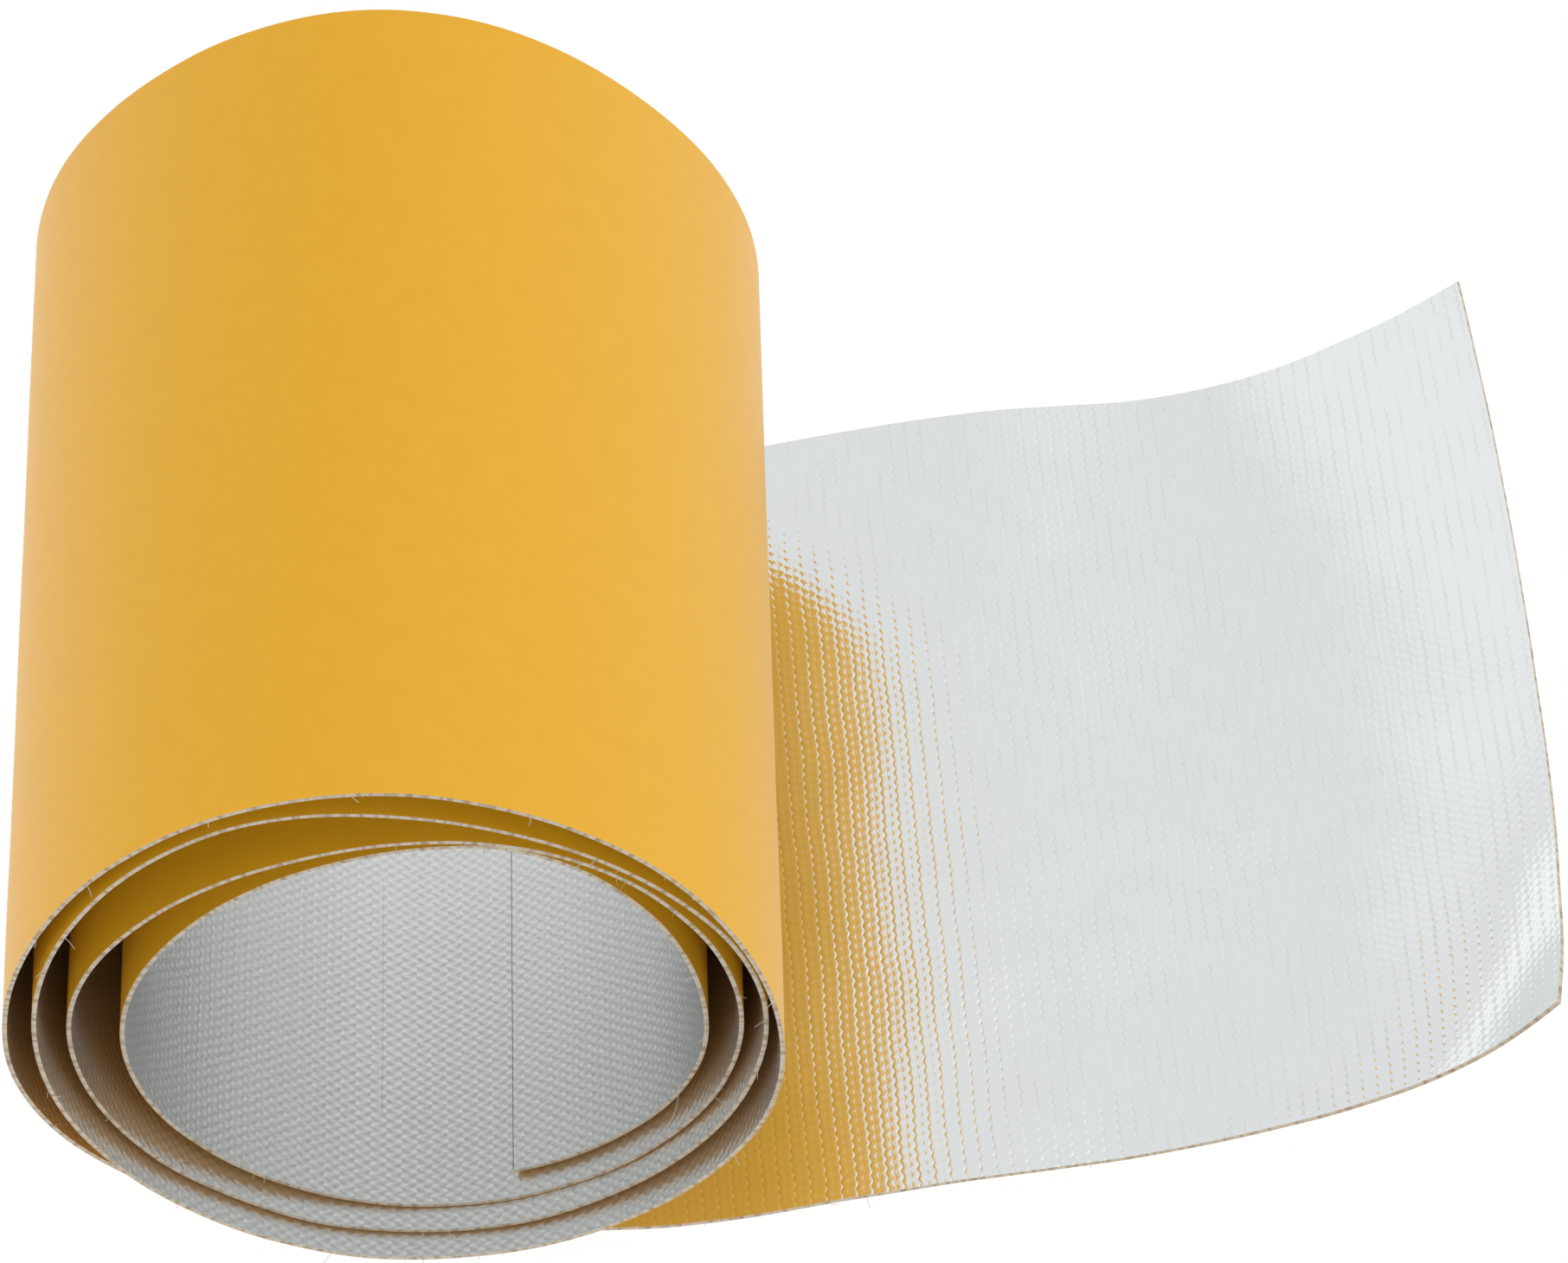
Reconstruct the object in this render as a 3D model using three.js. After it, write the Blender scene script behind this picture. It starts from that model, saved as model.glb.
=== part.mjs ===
// Exhaust heat wrap: a loose roll of foil-faced glass cloth with its release paper outwards.
// Millimetres, +Z up. The roll lies along Y on the floor and its free lead runs out towards +X.
import * as THREE from 'three';

// The sheet.
const sheetWidth = 120;
const clothThickness = 0.4;
const paperThickness = 0.15;

// The roll, over its outermost turn.
const rollWidth = 90.2;
const rollHeight = 91.9;

// Air between neighbouring turns, from the outermost gap inwards.
const airLeft = [2.6, 3, 5.3];
const airTop = [4.3, 8.3, 4.1];
const airRight = [1.4, 2, 3.7];
const airBottom = [0.6, 1.2, 0.8, 1.1];

// How the turns sag, from the outermost inwards: crown to one side, widest place off half height.
const crownShift = [0, -5.8, 5.6, 7];
const sideLift = [-3.4, 1.7, 1.1, -1.7];

// Between its extreme points a turn runs this share flatter than a true ellipse.
const shoulderFlat = 0.011;

// The inner end stops this far round before the lowest point of its turn.
const tailAngle = 17;

// Turns creep back along the roll as they wind inwards, and the roll's ends lean a little.
const creepPerTurn = 2.9;
const endLean = -1;

// The outermost turn swings back again towards the lead, which leaves the roll slightly askew.
const leadSwing = 7.6;
const leadSkew = 2.3;

// The lead: flat on the floor, a slow climb, then a curl up to its end. Its two edges curl up sooner
// than its middle, so climb and curl have a size at the near edge, the middle and the far edge.
const leadLength = 143;
const flatLength = 29;
const climbAngle = 7.5;
const climbLength = [47.7, 73.6, 65.9];
const bendRadius = 62;
const curlRadius = [77.8, 68.5, 59.3];

// Facets.
const stepsPerQuarter = 11;
const stepsPerStretch = 4;
const stepsPerBend = 3;
const stepsPerCurl = 10;
const stepsAcross = 6;

const sheetThickness = clothThickness + paperThickness;
const turnCount = airBottom.length;
const radians = THREE.MathUtils.degToRad;

// Running sum of the sheet and the air gaps passed on the way in to a turn.
function depthOf(gaps, turn) {
  return gaps.slice(0, turn).reduce((sum, air) => sum + sheetThickness + air, 0);
}

// Outer face of a turn at its four extreme points.
function turnExtents(turn) {
  const left = depthOf(airLeft, turn) - rollWidth / 2;
  const right = rollWidth / 2 - depthOf(airRight, turn);
  const top = rollHeight - depthOf(airTop, turn);
  const bottom = depthOf(airBottom, turn);
  const foot = (left + right) / 2;
  const crown = foot + (crownShift[turn] ?? 0);
  const level = (top + bottom) / 2 + (sideLift[turn] ?? 0);
  return { left, right, top, bottom, foot, crown, level };
}

// A turn is four quarter ellipses that meet at its extreme points: up the left side, then down the right,
// to the lowest point of the next turn in.
function turnPoint(turn, quarter, share) {
  const { left, right, top, bottom, foot, crown, level } = turnExtents(turn);
  const next = turnExtents(turn + 1);
  const centreX = [foot, crown, crown, next.foot][quarter];
  const reachX = quarter < 2 ? centreX - left : right - centreX;
  const reachZ = [level - bottom, top - level, top - level, level - next.bottom][quarter];
  const angle = radians(90 * (quarter + share));
  const x = -Math.sin(angle);
  const z = -Math.cos(angle);
  const flat = 1 - shoulderFlat * Math.sin(2 * angle) ** 2;
  const slope = Math.hypot(x / reachX, z / reachZ);
  return {
    x: centreX + reachX * x * flat,
    z: level + reachZ * z * flat,
    inX: -x / reachX / slope,
    inZ: -z / reachZ / slope,
  };
}

// The value between a near, a middle and a far one, at a place from -1 to 1 across the sheet.
function blend([near, middle, far], side) {
  return middle + (far - near) / 2 * side + ((far + near) / 2 - middle) * side * side;
}

// A point of the lead, by its distance from the foot of the roll and its place across the sheet.
function leadPoint(distance, side) {
  const bendLength = bendRadius * radians(climbAngle);
  const reach = blend(climbLength, side);
  const radius = blend(curlRadius, side);
  const along = Math.max(0, distance - flatLength);
  const bend = Math.min(along, bendLength) / bendRadius;
  const climb = THREE.MathUtils.clamp(along - bendLength, 0, reach);
  const end = bend + Math.max(0, along - bendLength - reach) / radius;
  const x = Math.min(distance, flatLength) + bendRadius * Math.sin(bend) + climb * Math.cos(bend)
    + radius * (Math.sin(end) - Math.sin(bend));
  const z = bendRadius * (1 - Math.cos(bend)) + climb * Math.sin(bend)
    + radius * (Math.cos(bend) - Math.cos(end));
  return { x, z, inX: -Math.sin(end), inZ: Math.cos(end) };
}

// How far the near edge stands behind the front plane, by turns wound in from the foot of the lead.
function setBack(turns) {
  return creepPerTurn * (turns - 1) + leadSwing * Math.max(0, 1 - turns) ** 2;
}

// Evenly spaced values from one number to another, without the first.
function spread(from, to, steps) {
  return Array.from({ length: steps }, (_, i) => from + (to - from) * (i + 1) / steps);
}

// Stations along the sheet, from its inner end round to the foot of the roll and out along the lead.
function stations() {
  const bendEnd = flatLength + bendRadius * radians(climbAngle);
  const climbEnd = bendEnd + Math.min(...climbLength);
  const lead = [
    0,
    ...spread(0, flatLength, stepsPerStretch),
    ...spread(flatLength, bendEnd, stepsPerBend),
    ...spread(bendEnd, climbEnd, stepsPerStretch),
    ...spread(climbEnd, leadLength, stepsPerCurl),
  ];
  const woundEnd = turnCount - tailAngle / 360;
  const wound = spread(0, woundEnd, Math.ceil(woundEnd * 4 * stepsPerQuarter));
  return [
    ...wound.map((turns) => ({ distance: 0, turns })).reverse(),
    ...lead.map((distance) => ({ distance, turns: 0 })),
  ];
}

// A point of the wound sheet: how far across the width, and how deep below the paper's outer face.
function placeWound(turns, across, depth) {
  const turn = Math.min(Math.floor(turns), turnCount - 1);
  const quarter = Math.min(Math.floor((turns - turn) * 4), 3);
  const point = turnPoint(turn, quarter, (turns - turn) * 4 - quarter);
  const x = point.x + point.inX * depth;
  const y = across + setBack(turns) + point.x * Math.tan(radians(endLean));
  return [x, y, point.z + point.inZ * depth];
}

// A point of the lead, which turns to its skew while it is flat on the floor and then runs straight.
function placeLead(distance, across, depth) {
  const point = leadPoint(distance, across / (sheetWidth / 2));
  const along = point.x + point.inX * depth;
  const skew = radians(leadSkew);
  const lean = skew * Math.min(1, distance / flatLength);
  return [
    turnExtents(0).foot + along * Math.cos(skew) - across * Math.sin(lean),
    setBack(0) + along * Math.sin(skew) + across * Math.cos(lean),
    point.z + point.inZ * depth,
  ];
}

function place({ turns, distance }, across, depth) {
  return turns > 0 ? placeWound(turns, across, depth) : placeLead(distance, across, depth);
}

// Both faces of a layer split their squares along the same diagonal, so two layers meet face to face.
// The outer face is the box's last group, and each of its squares is two triangles of three corners.
function matchDiagonals(geometry) {
  const { start, count } = geometry.groups.at(-1);
  const corners = geometry.index.array;
  for (let i = start; i < start + count; i += 2 * 3) {
    const [a, b, d, , c] = corners.slice(i, i + 2 * 3);
    corners.set([a, b, c, a, c, d], i);
  }
}

// One layer of the sheet, between two depths below the paper's outer face.
function layer(name, outerDepth, innerDepth, look) {
  const list = stations();
  const last = list.length - 1;
  const geometry = new THREE.BoxGeometry(last, sheetWidth, 1, last, stepsAcross, 1);
  matchDiagonals(geometry);
  const position = geometry.attributes.position;
  for (let i = 0; i < position.count; i += 1) {
    const station = list[Math.round(position.getX(i) + last / 2)];
    const depth = position.getZ(i) > 0 ? innerDepth : outerDepth;
    position.setXYZ(i, ...place(station, position.getY(i), depth));
  }
  geometry.computeVertexNormals();
  const mesh = new THREE.Mesh(geometry, new THREE.MeshStandardMaterial(look));
  mesh.name = name;
  return mesh;
}

const group = new THREE.Group();
group.name = 'exhaust_heat_wrap';
const foilLook = { color: '#ccd1d2', roughness: 0.3, metalness: 1 };
const paperLook = { color: '#e8b230', roughness: 0.42, metalness: 0 };
group.add(
  layer('foil_glass_cloth', paperThickness, sheetThickness, foilLook),
  layer('release_paper', 0, paperThickness, paperLook),
);

// The origin lies on the floor under the middle of the whole part.
const middle = new THREE.Box3().setFromObject(group).getCenter(new THREE.Vector3());
group.position.set(-middle.x, -middle.y, 0);

export default group;
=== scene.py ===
import math

import bpy
import numpy as np
from mathutils import Matrix, Vector


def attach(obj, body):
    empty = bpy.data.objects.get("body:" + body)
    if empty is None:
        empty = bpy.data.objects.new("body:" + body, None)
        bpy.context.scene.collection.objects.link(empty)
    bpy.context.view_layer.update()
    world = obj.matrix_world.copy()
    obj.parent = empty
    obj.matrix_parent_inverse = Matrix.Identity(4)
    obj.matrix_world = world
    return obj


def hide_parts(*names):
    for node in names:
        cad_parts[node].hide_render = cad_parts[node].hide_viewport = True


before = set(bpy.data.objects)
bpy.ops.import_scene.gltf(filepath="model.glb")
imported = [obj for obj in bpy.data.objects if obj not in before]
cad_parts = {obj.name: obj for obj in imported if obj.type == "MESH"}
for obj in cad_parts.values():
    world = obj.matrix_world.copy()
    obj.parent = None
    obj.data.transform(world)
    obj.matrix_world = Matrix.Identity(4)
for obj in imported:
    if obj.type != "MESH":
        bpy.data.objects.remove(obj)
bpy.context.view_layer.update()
print("frame loaded")

mm = 0.001


def srgbHex(text):
    # sRGB hex to linear: a straight part below 0.04045, a 2.4 power above it
    parts = [int(text[i:i + 2], 16) / 255 for i in (1, 3, 5)]
    return [p / 12.92 if p <= 0.04045 else ((p + 0.055) / 1.055) ** 2.4 for p in parts] + [1.0]


def addNode(tree, kind, settings=None, inputs=None):
    # one node, with its settings, its values and its links
    node = tree.nodes.new(kind)
    for name, value in (settings or {}).items():
        setattr(node, name, value)
    for name, value in (inputs or {}).items():
        if isinstance(value, bpy.types.NodeSocket):
            tree.links.new(value, node.inputs[name])
        else:
            node.inputs[name].default_value = value
    return node


def newMaterial(name):
    material = bpy.data.materials.new(name)
    material.use_nodes = True
    material.node_tree.nodes.clear()
    return material, material.node_tree


def finishMaterial(tree, shader):
    addNode(tree, "ShaderNodeOutputMaterial", inputs={"Surface": shader.outputs[0]})


# All lengths of the sheet are millimetres until its mesh is made.
sheetSizes = {
    "width": 120.0,
    "cloth": 0.4,
    "paper": 0.15,
    "crossSteps": 40,        # facets across the width
    "turnSteps": 168,        # facets round one turn
    "leadStep": 1.5,         # facet length on the lead
    "bond": 0.02,            # air between paper and cloth
    "fray": 0.12,            # how far the cut edges wander
    "fraySpread": 11,        # facets over which a wander is spread
    "sharpAngle": 50,        # degrees from which an edge is drawn sharp
    "waveSeed": 11,
    "fraySeed": 5,
}

rollSizes = {
    "width": 90.686,
    "height": 92.786,
    "airLeft": [2.579, 3.069, 5.251],
    "airTop": [4.817, 9.006, 4.453],
    "airRight": [1.284, 2.286, 3.53],
    "airBottom": [0.3, 0.351, 0.327, 0.782],
    "crownShift": [0, -6.2, 5.63, 6.96, 6.96],
    "sideLift": [-3.45, 1.36, 1.64, -1.69, -1.69],
    "shoulder": 0.012,
    "tailAngle": 18.4,
    "creep": 3.406,
    "creepFade": 0.082,
    "swing": 7.887,
    "swingPower": 1.975,
    "endLean": -0.017,
    # place and width in turns, and how far out at the near edge and at the far edge
    "dents": [(0.10, 0.055, -0.9, -0.3), (0.25, 0.10, 0.5, 0.6), (0.40, 0.06, 0.3, -0.5),
              (0.62, 0.07, 0.3, -1.1)],
    "easing": 3,             # facets over which the sheet's bends are eased
    "place": (-47.397, -4.561),     # foot of the roll in the frame
}

leadSizes = {
    "length": 143.8,
    "skew": 2.4,
    "flat": 29.04,
    "climbAngle": 7.554,
    "bendRadius": 62.07,
    "climb": (73.96, 8.82, -16.52),     # middle, tilt and cup across the width
    "curlRadius": 67.97,
    "curlTilt": -0.125,
    "forward": 1.5,          # how far the lead has shifted towards the near side
    "buckle": (0.02, 0.12),  # height of the sheet's waves everywhere, and what looseness adds
    "loose": (22, 30),       # where it starts to be loose, and over what distance
    "waves": (14, 60.0, 14.0),          # how many waves, the longest and the shortest
    "easing": (5, 12),       # facets over which its bends are eased, and how many after the roll are skipped
    # height that the lead has over its plain line: distance, at the near edge, at the far edge
    "rises": [(0, 0, 0), (28, 0, 0), (36, 0.35, 0.35), (42, 1.15, 1.0), (50, 1.75, 1.45), (60, 2.1, 2.0),
              (72, 2.35, 2.45), (80, 2.5, 2.15), (90, 2.7, 0.7), (100, 2.8, -0.2), (110, 2.25, 0.5),
              (120, 1.35, 1.75), (130, 1.0, 2.5), (138, 0.9, 2.3), (144, 1.9, 1.9)],
    # small bumps: distance, place across, size and height
    "bumps": [(69.5, -29.0, 4.0, 0.25)],
}


def depths(gaps):
    # running sum of the sheet and each air gap, from the outermost turn inwards; the last value repeats
    step = sheetSizes["cloth"] + sheetSizes["paper"]
    sums = [0.0]
    for gap in gaps:
        sums.append(sums[-1] + step + gap)
    return np.array((sums + sums[-1:] * 3)[:5])


def woundLine(turns):
    # quarter ellipses between each turn's lowest, leftmost, highest and rightmost points, a share flatter
    # between them: x = centre - reachX sin(angle) g, z = level - reachZ cos(angle) g,
    # g = 1 - shoulder sin(2 angle)^2; the last quarter of a turn ends at the lowest point of the next
    r = rollSizes
    left = depths(r["airLeft"]) - r["width"] / 2
    right = r["width"] / 2 - depths(r["airRight"])
    top = r["height"] - depths(r["airTop"])
    bottom = depths(r["airBottom"])
    middle = (left + right) / 2
    crown = middle + r["crownShift"]
    level = (top + bottom) / 2 + r["sideLift"]
    turn = np.minimum(np.floor(turns), 3).astype(int)
    quarter = np.minimum(np.floor((turns - turn) * 4), 3).astype(int)
    angle = (turns - turn) * 2 * np.pi
    centre = np.choose(quarter, [middle[turn], crown[turn], crown[turn], middle[turn + 1]])
    reachX = np.where(quarter < 2, centre - left[turn], right[turn] - centre)
    reachZ = np.choose(quarter, [level[turn] - bottom[turn], top[turn] - level[turn],
                                 top[turn] - level[turn], level[turn] - bottom[turn + 1]])
    flat = 1 - r["shoulder"] * np.sin(2 * angle) ** 2
    return centre - reachX * np.sin(angle) * flat, level[turn] - reachZ * np.cos(angle) * flat


def leadLine(distance, side):
    # flat, a bend, a straight climb and a curl, by the distance from the foot of the roll and
    # the place across the width, -1 at the near edge and 1 at the far edge
    s = leadSizes
    rise = math.radians(s["climbAngle"])
    radius, curl = s["bendRadius"], s["curlRadius"] * (1 + s["curlTilt"] * side)
    climb = s["climb"][0] + s["climb"][1] * side + s["climb"][2] * side ** 2
    along = np.maximum(0, distance - s["flat"])
    bend = np.minimum(along / radius, rise)
    straight = np.clip(along - radius * rise, 0, climb)
    end = bend + np.maximum(0, along - radius * rise - climb) / curl
    x = np.minimum(distance, s["flat"]) + radius * np.sin(bend) + straight * np.cos(bend)
    x = x + curl * (np.sin(end) - np.sin(bend))
    z = radius * (1 - np.cos(bend)) + straight * np.sin(bend) + curl * (np.cos(bend) - np.cos(end))
    return x, z


def dents(turns, side):
    # how far the outermost turn leaves its ellipses, outwards, as a sum of bells round the turn;
    # each bell has its size at the near edge and at the far edge
    total = np.zeros((len(turns), side.size))
    for at, width, near, far in rollSizes["dents"]:
        bell = np.exp(-((turns - at) / width) ** 2)[:, None]
        total = total + bell * (near + (far - near) * (side + 1) / 2)
    return total


def setBack(turns):
    # the near edge creeps back with each turn in, and the outermost turn swings back to the lead
    r = rollSizes
    inner = turns - 1
    swung = r["swing"] * np.maximum(0, -inner) ** r["swingPower"]
    return r["creep"] * inner - r["creepFade"] * inner ** 2 + swung


def smoothRows(rows, half):
    # moving average with a raised-cosine window down the first axis, ends held
    window = np.hanning(2 * half + 3)[1:-1]
    window = window / window.sum()
    padded = np.concatenate([2 * rows[:1] - rows[half:0:-1], rows, 2 * rows[-1:] - rows[-2:-half - 2:-1]])
    return sum(w * padded[k:k + len(rows)] for k, w in enumerate(window))


def waves(u, v, rng, count, longest, shortest):
    # sum of plain waves in seeded directions, each as high as it is long, scaled to about one
    total = np.zeros(np.broadcast(u, v).shape)
    for _ in range(count):
        length = longest * (shortest / longest) ** rng.random()
        turn = rng.random() * np.pi
        phase = rng.random() * 2 * np.pi
        total = total + length / longest * np.sin(
            2 * np.pi * (u * np.cos(turn) + v * np.sin(turn)) / length + phase)
    return total / np.sqrt(count / 4)


def sheetSurface():
    # rows run along the sheet from its inner end to the end of the lead, columns from near edge to far edge;
    # gives the paper's outer face, the inward normals and the two distances that the weave follows
    s, r, lead = sheetSizes, rollSizes, leadSizes
    rng = np.random.default_rng(s["waveSeed"])
    woundEnd = len(r["airBottom"]) - r["tailAngle"] / 360
    turns = np.linspace(woundEnd, 0, int(woundEnd * s["turnSteps"]))
    distance = np.linspace(0, lead["length"], int(lead["length"] / s["leadStep"]) + 1)[1:]
    across = np.linspace(-s["width"] / 2, s["width"] / 2, s["crossSteps"] + 1)[None, :]
    side = across / (s["width"] / 2)

    x, z = woundLine(turns)
    wound = np.stack([np.broadcast_to(x[:, None], (len(x), across.size)),
                      across + (setBack(turns) + r["endLean"] * x)[:, None],
                      np.broadcast_to(z[:, None], (len(x), across.size))], axis=-1)

    x, z = leadLine(distance[:, None], side)
    skew = math.radians(lead["skew"])
    lean = skew * np.minimum(1, distance / lead["flat"])[:, None]
    knots = np.array(lead["rises"])
    near, far = (np.interp(distance, knots[:, 0], knots[:, k])[:, None] for k in (1, 2))
    z = z + near * (1 - side) / 2 + far * (1 + side) / 2
    for at, place, size, height in lead["bumps"]:
        z = z + height * np.exp(-(((distance[:, None] - at) ** 2 + (across - place) ** 2) / size ** 2))
    shift = lead["forward"] * np.minimum(1, distance / lead["flat"])[:, None]
    free = np.stack([x * math.cos(skew) - across * np.sin(lean),
                     setBack(np.zeros(1)) + x * math.sin(skew) + across * np.cos(lean) - shift,
                     z + 0 * across], axis=-1)

    # the lead's bends are eased more than the roll's
    points = smoothRows(np.concatenate([wound, free]), r["easing"])
    spread, skipped = lead["easing"]
    points[len(turns) + skipped:] = smoothRows(points, spread)[len(turns) + skipped:]
    steps = np.linalg.norm(np.diff(points[:, across.size // 2], axis=0), axis=1)
    length = np.concatenate([[0], np.cumsum(steps)])

    # inward normal: the cross product of the sheet's own two directions
    normal = np.cross(np.gradient(points, axis=0), np.gradient(points, axis=1))
    normal = normal / np.linalg.norm(normal, axis=-1, keepdims=True)

    # the lead buckles a little, the wound part hardly, and nothing dips under the floor
    start, over = lead["loose"]
    loose = np.clip((length - length[len(turns) - 1] - start) / over, 0, 1)[:, None]
    wave = waves(length[:, None], across, rng, *lead["waves"])
    away = np.concatenate([dents(turns, side[0]), np.zeros((len(distance), across.size))])
    still, more = lead["buckle"]
    points = points + normal * (wave * (still + more * loose) - away)[..., None]
    points[..., 2] -= np.minimum(points[..., 2].min(), 0)
    points = points + np.array([r["place"][0], r["place"][1], 0])
    return points, normal, length, across[0]


def frayEdges(points, rng):
    # both long edges wander a little, as scissors leave them: random steps under a raised-cosine window
    size, spread = sheetSizes["fray"], sheetSizes["fraySpread"]
    window = np.hanning(spread)[1:-1] / ((spread - 1) / 2)
    for column, side in ((0, -1), (-1, 1)):
        wander = np.convolve(rng.standard_normal(len(points) + len(window) - 1), window, "valid")
        points[:, column, 1] += side * size * wander
    return points


def closedSheet(name, outer, inner, length, across, slots):
    # two grids joined round their rim; slots are the materials of the outside, the inside and the rim;
    # the map holds metres along and across the sheet
    rows, columns = outer.shape[:2]
    points = np.concatenate([outer.reshape(-1, 3), inner.reshape(-1, 3)]) * mm
    index = np.arange(rows * columns).reshape(rows, columns)
    a, b, c, d = index[:-1, :-1], index[:-1, 1:], index[1:, 1:], index[1:, :-1]
    outside = np.stack([a, b, c, d], -1).reshape(-1, 4)
    inside = np.stack([a, d, c, b], -1).reshape(-1, 4) + rows * columns
    ring = np.concatenate([index[0, :-1], index[:-1, -1], index[-1, :0:-1], index[:0:-1, 0]])
    after = np.roll(ring, -1)
    rim = np.stack([ring, ring + rows * columns, after + rows * columns, after], -1)
    faces = np.concatenate([outside, inside, rim])
    mesh = bpy.data.meshes.new(name)
    mesh.from_pydata(points.tolist(), [], faces.tolist())
    mesh.polygons.foreach_set("material_index", np.repeat(slots, [len(outside), len(inside), len(rim)]))
    flat = np.stack(np.broadcast_arrays(length[:, None] * mm, across[None, :] * mm), -1).reshape(-1, 2)
    layer = mesh.uv_layers.new(name="sheetMap")
    layer.data.foreach_set("uv", np.tile(flat, (2, 1))[faces.ravel()].ravel())
    mesh.polygons.foreach_set("use_smooth", np.ones(len(faces), dtype=bool))
    mesh.update()
    mesh.set_sharp_from_angle(angle=math.radians(sheetSizes["sharpAngle"]))
    mesh.validate()
    piece = bpy.data.objects.new(name, mesh)
    bpy.context.scene.collection.objects.link(piece)
    return piece


foilLook = {
    "column": 0.95,          # millimetres from one warp thread to the next, along the sheet
    "row": 0.72,             # and from one weft thread to the next, across it
    "sway": 0.13,            # how far the seams zigzag, in columns
    "wander": (90.0, (0.6, 0.5, 0)),    # patches a metre in which the threads drift, and by how much, mm
    "seams": (-0.024, -0.008),      # depth of the seam after every pair of threads and of the one between
    "seamEdge": 24.0,        # how narrow the seams are
    "pillow": (0.017, 0.011),       # height of the threads' pillows in the roll and on the lead
    "wrinkle": (700.0, 0.008),      # patches a metre and height of the foil's fine wrinkles
    "change": 0.02,          # metres on each side of the roll's foot over which the foil gets fresher
    "woundColour": "#f7f8f7",
    "leadColour": "#f2f6f6",
    "grooveShadeColour": "#9aa0a2",      # painted shade between the pillows of the rubbed foil
    "groove": (0.3, 0.2),    # pillow height below which the painted groove shade starts, and how strong it gets
    # painted shade along the deep seams, the crease and the step at the inner end
    "seamShadeColour": "#99948a",
    "dash": (170.0, 0.42, 0.58, 0.11),  # patches a metre that break the seams' shade, their range and strength
    "wound": (0.27, 0.81),   # roughness and metal share in the roll, where the foil is rubbed
    "lead": (0.13, 0.97),    # and on the lead
    "endShadowLine": (0.14, 0.9),  # millimetres of painted shadow along the step at the sheet's cut inner end, and how dark
    # a faint crease across the inner turn, drawn only as painted shade: its place along the sheet, half its
    # width, its middle and half its length
    "crease": (200.6, 0.07, -29.5, 17.5),
    "creaseShade": 0.3,
}


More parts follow.
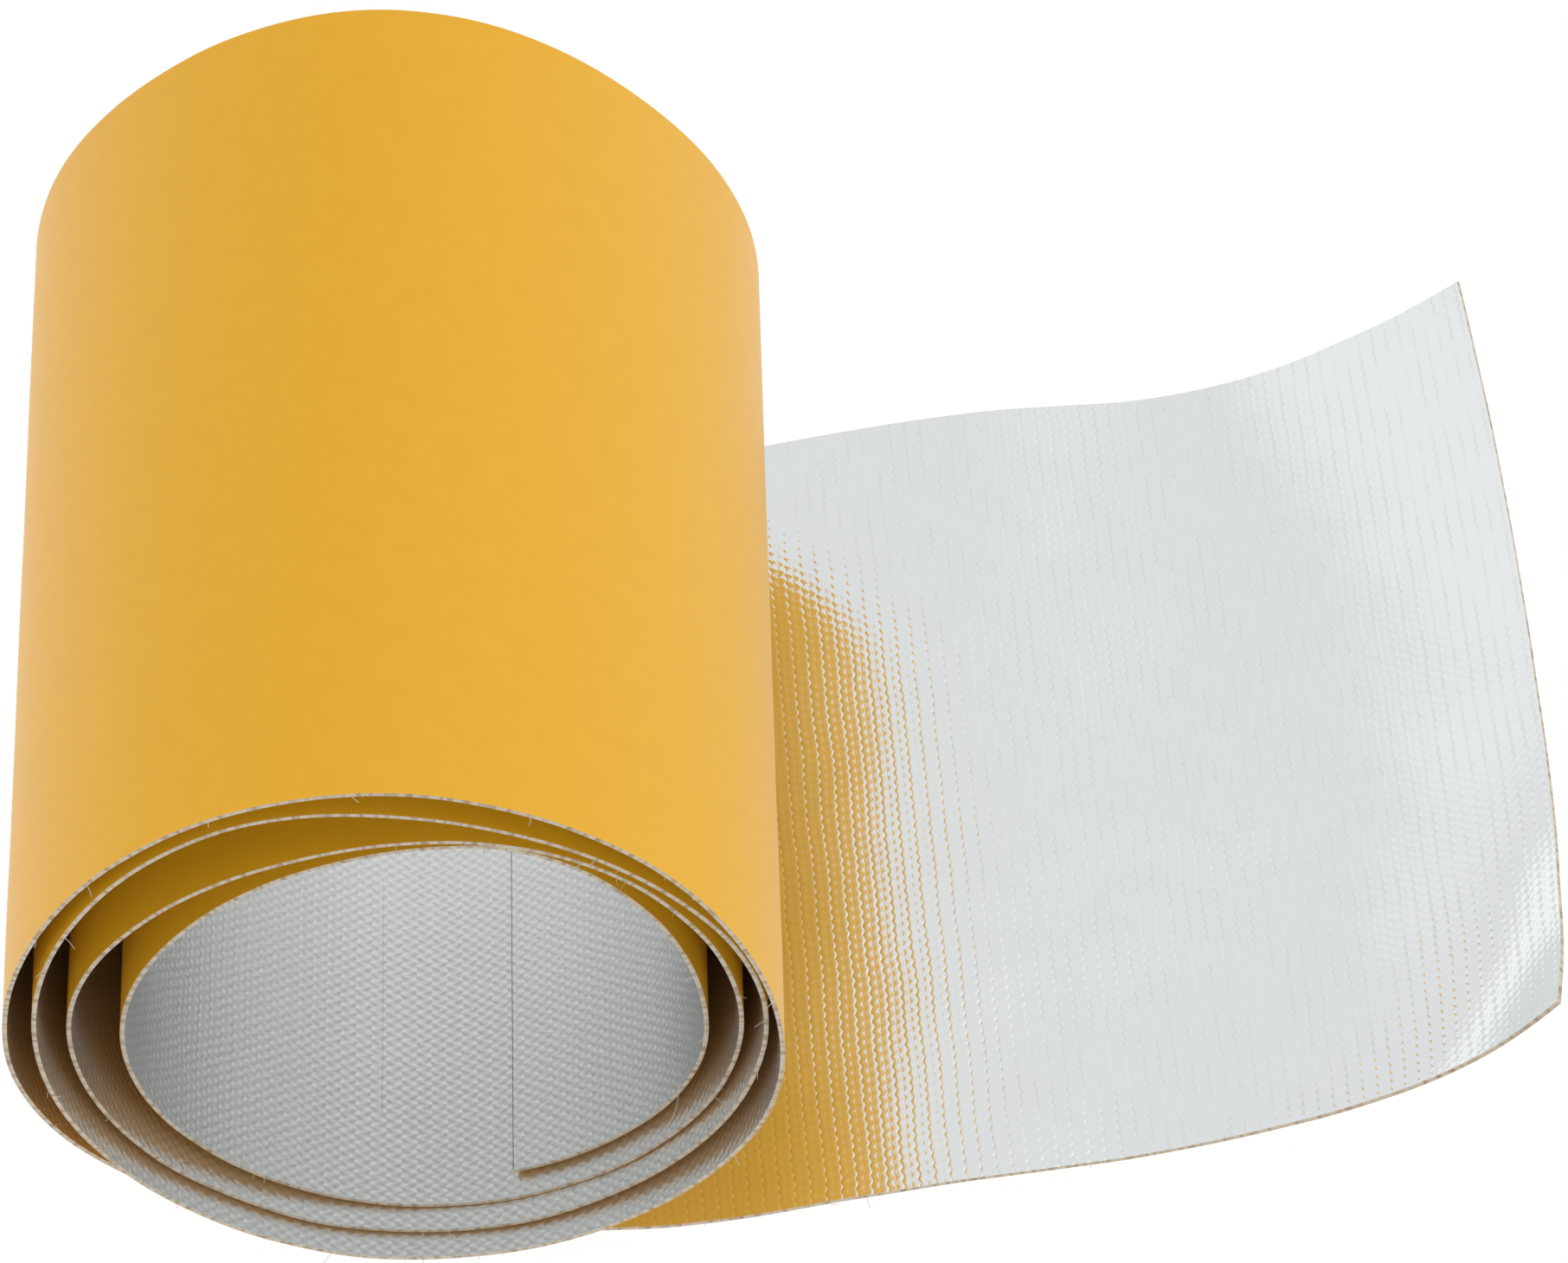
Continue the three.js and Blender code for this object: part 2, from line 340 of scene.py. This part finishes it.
def embossedFoil(leadStart):
    # aluminium foil pressed onto plain-weave glass cloth: nearly a mirror on the lead, duller in the roll,
    # broken by zigzag seams between pairs of threads and by low staggered pillows that glint where it curls
    # shade is painted into its grooves, seams, crease and the step at its inner end
    f = foilLook
    material, tree = newMaterial("embossedAluminiumFoil")
    place = addNode(tree, "ShaderNodeUVMap", {"uv_map": "sheetMap"}).outputs[0]
    noise = "ShaderNodeTexNoise"
    flat = {"noise_dimensions": "2D"}
    patches, drift = f["wander"]
    wander = addNode(tree, noise, flat, {"Vector": place, "Scale": patches, "Detail": 2.0})
    moved = addNode(tree, "ShaderNodeVectorMath", {"operation": "MULTIPLY_ADD"},
                    {0: wander.outputs["Color"], 1: [size * mm for size in drift], 2: place})
    movedParts = addNode(tree, "ShaderNodeSeparateXYZ", inputs={0: moved.outputs[0]})
    parts = addNode(tree, "ShaderNodeSeparateXYZ", inputs={0: place})
    fresh = addNode(tree, "ShaderNodeMapRange", inputs={
        0: parts.outputs[0], 1: leadStart - f["change"], 2: leadStart + f["change"]})
    dashes, low, high, strength = f["dash"]
    breaks = addNode(tree, noise, flat, {"Vector": place, "Scale": dashes})
    shown = addNode(tree, "ShaderNodeMapRange", inputs={
        0: breaks.outputs["Fac"], 1: low, 2: high, 3: 0.0, 4: strength})

    creaseAt, creaseHalf, creaseMiddle, creaseReach = (size * mm for size in f["crease"])
    # each row is a result, an operation and its terms, which are earlier results or numbers:
    # angles along and across the sheet, the seams, the pillows and their height, then the painted shade of
    # grooves, crease, inner end and seams, and the finish
    steps = [
        ("rowAngle", "MULTIPLY", "movedAcross", math.pi / (f["row"] * mm)),
        ("rowWave", "SINE", "rowAngle"),
        ("columnAngle", "MULTIPLY", "movedAlong", math.pi / (f["column"] * mm)),
        ("swayed", "MULTIPLY_ADD", "rowWave", math.pi * f["sway"], "columnAngle"),
        ("half", "MULTIPLY", "swayed", 0.5),
        ("halfCosine", "COSINE", "half"),
        ("halfSine", "SINE", "half"),
        ("deepSide", "ABSOLUTE", "halfCosine"),
        ("lowSide", "ABSOLUTE", "halfSine"),
        ("deepSeam", "POWER", "deepSide", f["seamEdge"]),
        ("lowSeam", "POWER", "lowSide", f["seamEdge"]),
        ("columnWave", "SINE", "swayed"),
        ("pillow", "MULTIPLY", "columnWave", "rowWave"),
        ("lowDepth", "MULTIPLY", "lowSeam", f["seams"][1]),
        ("seamDepth", "MULTIPLY_ADD", "deepSeam", f["seams"][0], "lowDepth"),
        ("relief", "MULTIPLY_ADD", "fresh", f["pillow"][1] - f["pillow"][0], f["pillow"][0]),
        ("height", "MULTIPLY_ADD", "pillow", "relief", "seamDepth"),
        # painted shade in the grooves between the pillows, only on the rubbed foil in the roll
        ("grooveSide", "SUBTRACT", f["groove"][0], "pillow"),
        ("grooveFloor", "MAXIMUM", "grooveSide", 0.0),
        ("grooveShare", "MINIMUM", "grooveFloor", 1.0),
        ("grooveShade", "MULTIPLY", "grooveShare", f["groove"][1]),
        ("rubbed", "SUBTRACT", 1.0, "fresh"),
        ("groove", "MULTIPLY", "grooveShade", "rubbed"),
        # painted shade in the faint crease across the inner turn
        ("creaseLine", "COMPARE", "along", creaseAt, creaseHalf),
        ("creaseSpan", "COMPARE", "across", creaseMiddle, creaseReach),
        ("crease", "MULTIPLY", "creaseLine", "creaseSpan"),
        ("creaseDark", "MULTIPLY", "crease", f["creaseShade"]),
        # painted shadow along the step where the sheet's cut inner end lies on the turn below
        ("endShadowLine", "COMPARE", "along", 0.0, f["endShadowLine"][0] * mm),
        ("endShadowDark", "MULTIPLY", "endShadowLine", f["endShadowLine"][1]),
        # painted shade in the deep seams, broken into dashes, on the fresh foil of the lead
        ("seamShade", "MULTIPLY", "deepSeam", "shown"),
        ("seamDark", "MULTIPLY", "seamShade", "fresh"),
        ("lineDark", "MAXIMUM", "creaseDark", "endShadowDark"),
        ("dark", "MAXIMUM", "seamDark", "lineDark"),
        ("roughness", "MULTIPLY_ADD", "fresh", f["lead"][0] - f["wound"][0], f["wound"][0]),
        ("metal", "MULTIPLY_ADD", "fresh", f["lead"][1] - f["wound"][1], f["wound"][1]),
    ]
    sockets = {"movedAlong": movedParts.outputs[0], "movedAcross": movedParts.outputs[1],
               "along": parts.outputs[0], "across": parts.outputs[1],
               "fresh": fresh.outputs[0], "shown": shown.outputs[0]}
    for result, operation, *terms in steps:
        terms = {k: sockets.get(term, term) for k, term in enumerate(terms)}
        sockets[result] = addNode(tree, "ShaderNodeMath", {"operation": operation}, terms).outputs[0]

    weave = addNode(tree, "ShaderNodeBump", inputs={
        "Height": sockets["height"], "Distance": mm, "Strength": 1.0})
    wrinkles, wrinkleHeight = f["wrinkle"]
    wrinkle = addNode(tree, noise, flat, {"Vector": place, "Scale": wrinkles, "Detail": 3.0})
    fine = addNode(tree, "ShaderNodeBump", inputs={
        "Height": wrinkle.outputs["Fac"], "Distance": wrinkleHeight * mm, "Strength": 1.0,
        "Normal": weave.outputs[0]})

    # three colours laid over each other: fresh foil over rubbed foil, then the painted shade in the grooves,
    # then the painted shade of the seams, the crease and the inner end
    colour = srgbHex(f["woundColour"])
    for share, shade in (("fresh", "leadColour"), ("groove", "grooveShadeColour"), ("dark", "seamShadeColour")):
        mixed = addNode(tree, "ShaderNodeMix", {"data_type": "RGBA"}, {
            "Factor": sockets[share], 6: colour, 7: srgbHex(f[shade])})
        colour = mixed.outputs[2]
    shader = addNode(tree, "ShaderNodeBsdfPrincipled", inputs={
        "Base Color": colour, "Metallic": sockets["metal"], "Roughness": sockets["roughness"],
        "Normal": fine.outputs[0]})
    finishMaterial(tree, shader)
    return material


paperLook = {
    "deep": "#f2b212",
    "light": "#f8ba1c",
    "mottle": 260.0,         # patches a metre
    "fibre": 0.03,           # millimetres that its fibres stand up
    "roughness": 0.4,
}


def releasePaper():
    # silicone-coated yellow kraft paper: satin, slightly mottled, and pale with sheen where it turns away
    p = paperLook
    material, tree = newMaterial("siliconeReleasePaper")
    place = addNode(tree, "ShaderNodeUVMap", {"uv_map": "sheetMap"})
    mottle = addNode(tree, "ShaderNodeTexNoise", {"noise_dimensions": "2D"},
                     {"Vector": place.outputs[0], "Scale": p["mottle"], "Detail": 5.0, "Roughness": 0.6})
    tone = addNode(tree, "ShaderNodeMix", {"data_type": "RGBA"},
                   {"Factor": mottle.outputs["Fac"], 6: srgbHex(p["deep"]), 7: srgbHex(p["light"])})
    fibres = addNode(tree, "ShaderNodeBump", inputs={
        "Height": mottle.outputs["Fac"], "Distance": p["fibre"] * mm, "Strength": 1.0})
    shader = addNode(tree, "ShaderNodeBsdfPrincipled", inputs={
        "Base Color": tone.outputs[2], "Roughness": p["roughness"], "IOR": 1.45, "Normal": fibres.outputs[0]})
    finishMaterial(tree, shader)
    return material


edgeLook = {
    "thread": "#dccfbb",
    # painted shade in the gaps between the thread ends
    "gap": "#b39d82",
    "pitch": 0.95,           # millimetres from one thread end to the next
    "ends": (0.32, 0.56),    # noise range over which the painted shade of a gap turns into a thread end
    "roughness": 0.8,
}


def cutGlassEdge():
    # the scissor-cut edge of the glass cloth: matt cream thread ends with shade painted into the gaps between
    # them
    e = edgeLook
    material, tree = newMaterial("cutGlassFibreEdge")
    place = addNode(tree, "ShaderNodeUVMap", {"uv_map": "sheetMap"})
    threads = addNode(tree, "ShaderNodeTexNoise", {"noise_dimensions": "2D"},
                      {"Vector": place.outputs[0], "Scale": 1000.0 / e["pitch"], "Detail": 3.0})
    share = addNode(tree, "ShaderNodeMapRange", inputs={
        0: threads.outputs["Fac"], 1: e["ends"][0], 2: e["ends"][1]})
    tone = addNode(tree, "ShaderNodeMix", {"data_type": "RGBA"},
                   {"Factor": share.outputs[0], 6: srgbHex(e["gap"]), 7: srgbHex(e["thread"])})
    shader = addNode(tree, "ShaderNodeBsdfPrincipled", inputs={
        "Base Color": tone.outputs[2], "Roughness": e["roughness"], "IOR": 1.4})
    finishMaterial(tree, shader)
    return material


points, inward, length, across = sheetSurface()
print("sheet surface", points.shape[:2], "length", round(float(length[-1]), 1), "mm")
points = frayEdges(points, np.random.default_rng(sheetSizes["fraySeed"]))

foil = embossedFoil((float(length[-1]) - leadSizes["length"]) * mm)
paperFace = releasePaper()
cutEdge = cutGlassEdge()

# the paper lies outside; its rim takes the cut edge's look too
clothFace = sheetSizes["paper"]
foilFace = clothFace + sheetSizes["cloth"]
paper = closedSheet("releasePaper", points, points + inward * (clothFace - sheetSizes["bond"]),
                    length, across, [0, 0, 1])
paper.data.materials.append(paperFace)
paper.data.materials.append(cutEdge)
cloth = closedSheet("foilGlassCloth", points + inward * clothFace, points + inward * foilFace,
                    length, across, [1, 0, 1])
cloth.data.materials.append(foil)
cloth.data.materials.append(cutEdge)
for piece, node in ((paper, "release_paper"), (cloth, "foil_glass_cloth")):
    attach(piece, "root")
    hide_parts(node)

strandSizes = {
    "count": 90,
    "length": (0.5, 1.8),    # millimetres
    "thickness": 0.08,
    "depth": (0.2, 0.5),     # where a strand leaves the sheet's thickness
    "lean": (-0.5, 0.9),     # how far it leans outwards or inwards
    "scatter": 0.5,
    "bow": 0.08,
    "points": 7,             # along each strand
    "seed": 3,
    # one long strand: its two ends and how far its middle bows away from the straight line, millimetres
    "long": ((-14.5, -56.1, 24.1), (-17.2, -56.1, 14.7), (0.5, -1.6, 0.2)),
}


def glassStrands(points, inward):
    # loose fibres out of the near cut edge, each a three-sided closed tube along a bowed line:
    # start + out t + 4 bow t (1 - t), with the ring's corners a third of a turn apart
    s = strandSizes
    rng = np.random.default_rng(s["seed"])
    rows = rng.integers(10, len(points) - 10, s["count"])
    start = points[rows, 0] + inward[rows, 0] * rng.uniform(*s["depth"], (s["count"], 1))
    out = np.array([0, -1, 0]) + inward[rows, 0] * rng.uniform(*s["lean"], (s["count"], 1))
    out = out + rng.normal(0, s["scatter"], out.shape)
    out = out / np.linalg.norm(out, axis=1, keepdims=True) * rng.uniform(*s["length"], (s["count"], 1))
    bow = rng.normal(0, s["bow"], out.shape)
    first, last, sag = np.array(s["long"])
    start, out, bow = np.vstack([first, start]), np.vstack([last - first, out]), np.vstack([sag, bow])

    t = np.linspace(0, 1, s["points"])[None, :, None]
    path = start[:, None] + out[:, None] * t + 4 * bow[:, None] * t * (1 - t)
    path[..., 2] = np.maximum(path[..., 2], s["thickness"])
    along = np.gradient(path, axis=1)
    beside = np.cross(along, (0.3, 0.2, 0.93))      # a direction that no strand follows
    beside = beside / np.linalg.norm(beside, axis=-1, keepdims=True)
    above = np.cross(along, beside)
    above = above / np.linalg.norm(above, axis=-1, keepdims=True)
    turn = (np.arange(3) * 2 * np.pi / 3)[:, None]
    ring = beside[:, :, None] * np.cos(turn) + above[:, :, None] * np.sin(turn)
    corners = path[:, :, None] + ring * s["thickness"] / 2

    index = np.arange(corners[..., 0].size).reshape(corners.shape[:3])
    after = np.roll(index, -1, axis=2)
    sides = np.stack([index[:, :-1], after[:, :-1], after[:, 1:], index[:, 1:]], -1).reshape(-1, 4)
    caps = np.concatenate([index[:, 0, ::-1], index[:, -1]])
    mesh = bpy.data.meshes.new("looseGlassStrands")
    mesh.from_pydata((corners.reshape(-1, 3) * mm).tolist(), [], sides.tolist() + caps.tolist())
    mesh.update()
    piece = bpy.data.objects.new("looseGlassStrands", mesh)
    bpy.context.scene.collection.objects.link(piece)
    return piece


def strandGlass():
    # bare glass fibre, off-white and a little glossy
    material, tree = newMaterial("bareGlassFibre")
    shader = addNode(tree, "ShaderNodeBsdfPrincipled", inputs={
        "Base Color": srgbHex("#e6dccd"), "Roughness": 0.5, "IOR": 1.5})
    finishMaterial(tree, shader)
    return material


strands = glassStrands(points, inward)
strands.data.materials.append(strandGlass())
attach(strands, "root")
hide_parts("foil_glass_cloth")
print("loose strands made")

print("sheet layers built")

stageLook = {
    "size": 3.0,
    "drop": -0.0002,         # just under the part
    "floor": (0.05, 0.97),   # how much the floor sends back and how much it shines by itself
    "tent": 0.79,            # brightness of the white surroundings
    # left, right and overhead lamps and the darker side behind the camera: direction, added brightness,
    # and the cosines of the angles at which the glow starts and is full
    "lamps": [((-0.74, 0.46, 0.49), 0.10, 0.88, 0.99), ((0.93, 0.1, 0.35), 0.27, 0.2, 1.0),
              ((0, 0, 1), 0.45, 0.84, 1.0), ((0, -1, 0.15), -0.35, 0.0, 1.0)],
}


def glowingFloor():
    # white light table, white everywhere, so nothing casts a visible shadow on it
    material, tree = newMaterial("whiteLightTable")
    sent, shone = stageLook["floor"]
    shader = addNode(tree, "ShaderNodeBsdfPrincipled", inputs={
        "Base Color": (sent, sent, sent, 1), "Roughness": 0.9, "IOR": 1.0, "Emission Color": (1, 1, 1, 1),
        "Emission Strength": shone})
    finishMaterial(tree, shader)
    return material


def studioWorld():
    # a white tent with soft lamps
    s = stageLook
    world = bpy.data.worlds.new("studioWorld")
    bpy.context.scene.world = world
    world.use_nodes = True
    tree = world.node_tree
    tree.nodes.clear()
    direction = addNode(tree, "ShaderNodeTexCoord").outputs["Generated"]
    strength = s["tent"]
    for towards, added, start, full in s["lamps"]:
        toLamp = tuple(Vector(towards).normalized())
        near = addNode(tree, "ShaderNodeVectorMath", {"operation": "DOT_PRODUCT"}, {0: direction, 1: toLamp})
        lamp = addNode(tree, "ShaderNodeMapRange", {"interpolation_type": "SMOOTHSTEP"},
                       {0: near.outputs["Value"], 1: start, 2: full, 3: 0.0, 4: added})
        total = addNode(tree, "ShaderNodeMath", {"operation": "ADD"}, {0: lamp.outputs[0], 1: strength})
        strength = total.outputs[0]
    glow = addNode(tree, "ShaderNodeBackground", inputs={"Color": (1, 1, 1, 1), "Strength": strength})
    addNode(tree, "ShaderNodeOutputWorld", inputs={"Surface": glow.outputs[0]})


half = stageLook["size"] / 2
floorMesh = bpy.data.meshes.new("studioFloor")
low = stageLook["drop"]
corners = [(-half, -half, low), (half, -half, low), (half, half, low), (-half, half, low)]
floorMesh.from_pydata(corners, [], [(0, 1, 2, 3)])
floor = bpy.data.objects.new("studioFloor", floorMesh)
bpy.context.scene.collection.objects.link(floor)
floorMesh.materials.append(glowingFloor())
studioWorld()

cameraView = {
    "at": (-16.479, -586.149, 769.250),    # millimetres
    "azimuth": 1.564,                      # degrees from +Y towards +X
    "elevation": 51.194,
    "focal": 8858.3,                       # pixels in the 1812 wide picture
    "picture": (1812, 1460),
}


def placeCamera(view):
    # looks down by the elevation, towards the azimuth, with no roll
    lens = bpy.data.cameras.new("photoCamera")
    lens.sensor_fit = "HORIZONTAL"
    lens.sensor_width = 36.0
    lens.lens = view["focal"] / view["picture"][0] * lens.sensor_width
    lens.clip_start = 0.05
    lens.clip_end = 20.0
    camera = bpy.data.objects.new("photoCamera", lens)
    turn, dip = math.radians(view["azimuth"]), math.radians(view["elevation"])
    forward = Vector((math.sin(turn) * math.cos(dip), math.cos(turn) * math.cos(dip), -math.sin(dip)))
    right = Vector((math.cos(turn), -math.sin(turn), 0))
    up = right.cross(forward)
    rows = Matrix((right, up, -forward)).transposed().to_4x4()
    rows.translation = Vector(view["at"]) * mm
    camera.matrix_world = rows
    bpy.context.scene.collection.objects.link(camera)
    bpy.context.scene.camera = camera


placeCamera(cameraView)
bpy.context.scene.view_settings.view_transform = "Standard"
print("camera and light placed")
